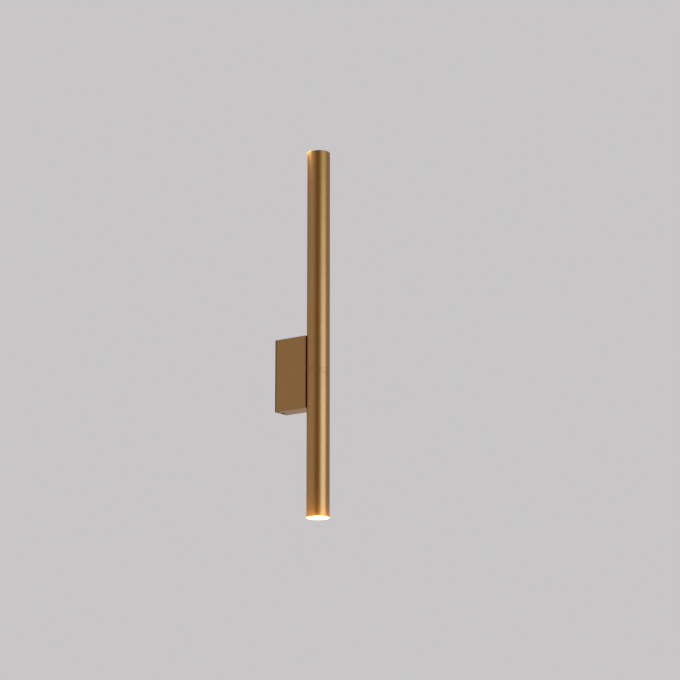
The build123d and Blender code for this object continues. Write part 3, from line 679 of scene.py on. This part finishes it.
def crown_at(radius):
    """Height of the crown's face at a radius."""
    return crown_top - radius ** 2 / crown_fall


crown = [(radius, crown_at(radius)) for radius in crown_radii]
grooves = [(ring + beside, crown_at(ring) - dip) for ring in lens_rings for beside, dip in ring_groove]
lens_corners = [(0.0, lens_back), (lens_radius, lens_back), (lens_radius, flange_face),
                (15.2, flange_face), (14.9, -2.05), (14.75, -1.95)]
lens_corners += sorted(crown + grooves, reverse=True)
for end in rims:
    lens = turned(lens_corners, [((lens_radius, flange_face), 0.2)], steps=128)
    finished(f"{end}_lens_moulded", at_rim(lens, end), glow, f"{end}_lamp", f"{end}_lamp_lens")


# ---------------------------------------------------------- floor, light, view
# The light hangs 1.85 m above a plain pale floor. One large soft lamp stands in
# front of it and three small ones near the tubes. The wall's side is pale.

floor_drop = 1.85
floor_half = 6.0
floor_mesh = bmesh.new()
bmesh.ops.create_grid(floor_mesh, x_segments=1, y_segments=1, size=floor_half)
bmesh.ops.translate(floor_mesh, verts=floor_mesh.verts, vec=(0, 0, -floor_drop))
floor_data = bpy.data.meshes.new("floor")
floor_mesh.to_mesh(floor_data)
floor_mesh.free()
floor = bpy.data.objects.new("floor", floor_data)
bpy.context.scene.collection.objects.link(floor)
floor_finish = Finish("floor_finish", Base_Color=(0.60, 0.59, 0.59, 1), Roughness=0.9)
floor_data.materials.append(floor_finish.material)


class Sky(Finish):
    """The surroundings, on a Background shader. Their coordinates are the direction seen."""

    coordinates = "Generated"

    def __init__(self, name):
        world = bpy.data.worlds.new(name)
        world.use_nodes = True
        bpy.context.scene.world = world
        self.tree = world.node_tree
        self.shader = self.tree.nodes["Background"]


sky = Sky("surroundings")
east = sky.along("X")
wall_side = sky.ramp(sky.along("Y"), -0.20, 0.12)
right_side = sky.ramp(east, 0.35, 0.95)
room = sky.node("ShaderNodeMath", {0: wall_side, 1: right_side * 0.75}, operation="MAXIMUM")
pale = sky.mixed(sky.ramp(east, -0.5, 0.1), (0.50, 0.54, 0.59, 1), (0.36, 0.38, 0.42, 1))
pale = sky.mixed(right_side, pale, (0.66, 0.64, 0.62, 1))
surround = sky.mixed(room, (0.086, 0.048, 0.014, 1), pale)
below = sky.ramp(sky.along("Z"), 0.0, -0.25) * wall_side
surround = sky.mixed(below, surround, (1.90, 1.34, 0.84, 1))
seen = sky.node("ShaderNodeLightPath", output="Is Camera Ray")
sky.put("Color", sky.mixed(seen, surround, (0.578, 0.565, 0.571, 1)))
sky.put("Strength", 1.0)


def soft_lamp(name, place, aim, size, watts, colour, form="RECTANGLE"):
    """A rectangular or round soft lamp that faces a point."""
    data = bpy.data.lights.new(name, "AREA")
    data.shape = form
    data.size, data.size_y = size
    data.energy = watts
    data.color = colour
    lamp = bpy.data.objects.new(name, data)
    lamp.location = place
    lamp.rotation_euler = (Vector(aim) - Vector(place)).to_track_quat("-Z", "Y").to_euler()
    lamp.visible_camera = False
    bpy.context.scene.collection.objects.link(lamp)


soft_lamp("key_lamp", place=(-0.16, -3.0, 0.30), aim=(0, 0, 0.05), size=(2.7, 1.4), watts=42,
          colour=(0.87, 1.10, 1.36))
soft_lamp("upper_pool", place=(-0.01, 0.0, 0.485), aim=(-0.01, -1, 0.485), size=(0.13, 0.13),
          watts=0.42, colour=(1.0, 0.86, 0.34))
soft_lamp("lower_pool", place=(-0.01, 0.0, -0.36), aim=(-0.01, -1, -0.36), size=(0.12, 0.12),
          watts=0.8, colour=(1.0, 0.66, 0.20))
soft_lamp("lower_spill", place=(0, -0.081, -0.262), aim=(0, -0.081, 1), size=(0.076, 0.076),
          watts=0.20, colour=(1.0, 0.74, 0.24), form="DISK")

view_azimuth, view_rise = math.radians(53.4438), math.radians(13.2304)
view_distance = 4.328544
picture_width, focus = 680, 2477.03                 # pixels
middle_right, middle_down = -58.686, 37.878         # from its middle to that of the box's back
sensor = 36.0
level = math.cos(view_rise)
ahead = Vector((math.sin(view_azimuth) * level, math.cos(view_azimuth) * level, math.sin(view_rise)))
right = Vector((math.cos(view_azimuth), -math.sin(view_azimuth), 0))
up = right.cross(ahead)
eye = -(view_distance * ahead + right * middle_right * view_distance / focus
        - up * middle_down * view_distance / focus)
camera_data = bpy.data.cameras.new("camera")
camera_data.sensor_width = sensor
camera_data.lens = focus / picture_width * sensor
camera = bpy.data.objects.new("camera", camera_data)
camera.matrix_world = Matrix.Translation(eye) @ Matrix((right, up, -ahead)).transposed().to_4x4()
bpy.context.scene.collection.objects.link(camera)
bpy.context.scene.camera = camera
bpy.context.scene.view_settings.view_transform = "Standard"
